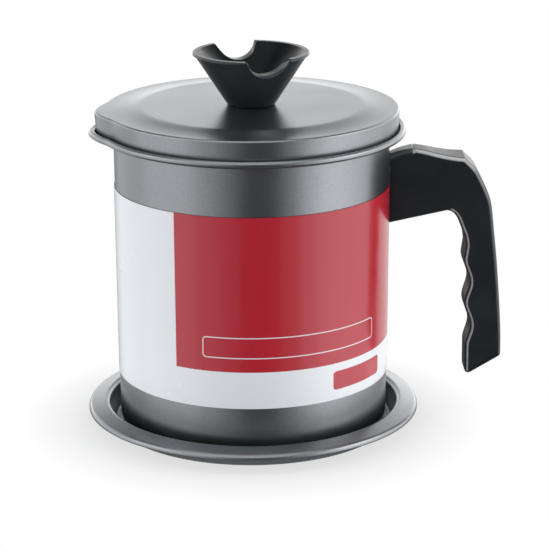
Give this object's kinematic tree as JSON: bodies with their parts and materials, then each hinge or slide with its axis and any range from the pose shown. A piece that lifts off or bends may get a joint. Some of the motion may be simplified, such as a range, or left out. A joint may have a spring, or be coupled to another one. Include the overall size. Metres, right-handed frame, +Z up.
{
  "type": "oil pot",
  "caption": "Straight-sided steel pot for used frying oil with a spout, an L-shaped handle, a lid with a flared knob, a lift-out strainer and a drip tray.",
  "frame": {"origin": "middle of the drip tray's underside, where it rests on the table", "axes": "+Z up along the pot's axis, +X towards the handle, -X towards the spout, within a few degrees"},
  "size_m": [0.1934, 0.155, 0.1763],
  "materials": {
    "coated_steel": "satin metallic grey non-stick coat",
    "bare_steel": "satin",
    "brass": "machined",
    "black_plastic": "moulded, semi-gloss",
    "printed_paper": "coated paper, red and white"
  },
  "bodies": {
    "tray": {"drip_tray": "coated_steel"},
    "pot": {"pot_shell": "coated_steel", "label_sleeve": "printed_paper", "handle_bracket": "bare_steel", "handle_grip": "black_plastic", "handle_screw": "bare_steel", "handle_washer": "bare_steel", "handle_nut": "bare_steel"},
    "strainer": {"strainer_cup": "bare_steel", "strainer_mesh": "bare_steel", "strainer_ring": "bare_steel"},
    "lid": {"lid_shell": "coated_steel", "lid_knob": "black_plastic", "knob_insert": "brass", "knob_screw": "bare_steel", "knob_washer": "bare_steel"}
  },
  "joints": [
    {"name": "pot_lift", "type": "slide", "parent": "tray", "child": "pot", "axis": [0, 0, 1], "range_m": [0, 0.05]},
    {"name": "strainer_lift", "type": "slide", "parent": "pot", "child": "strainer", "axis": [0, 0, 1], "range_m": [0, 0.08]},
    {"name": "lid_lift", "type": "slide", "parent": "strainer", "child": "lid", "axis": [0, 0, 1], "range_m": [0, 0.08]}
  ]
}
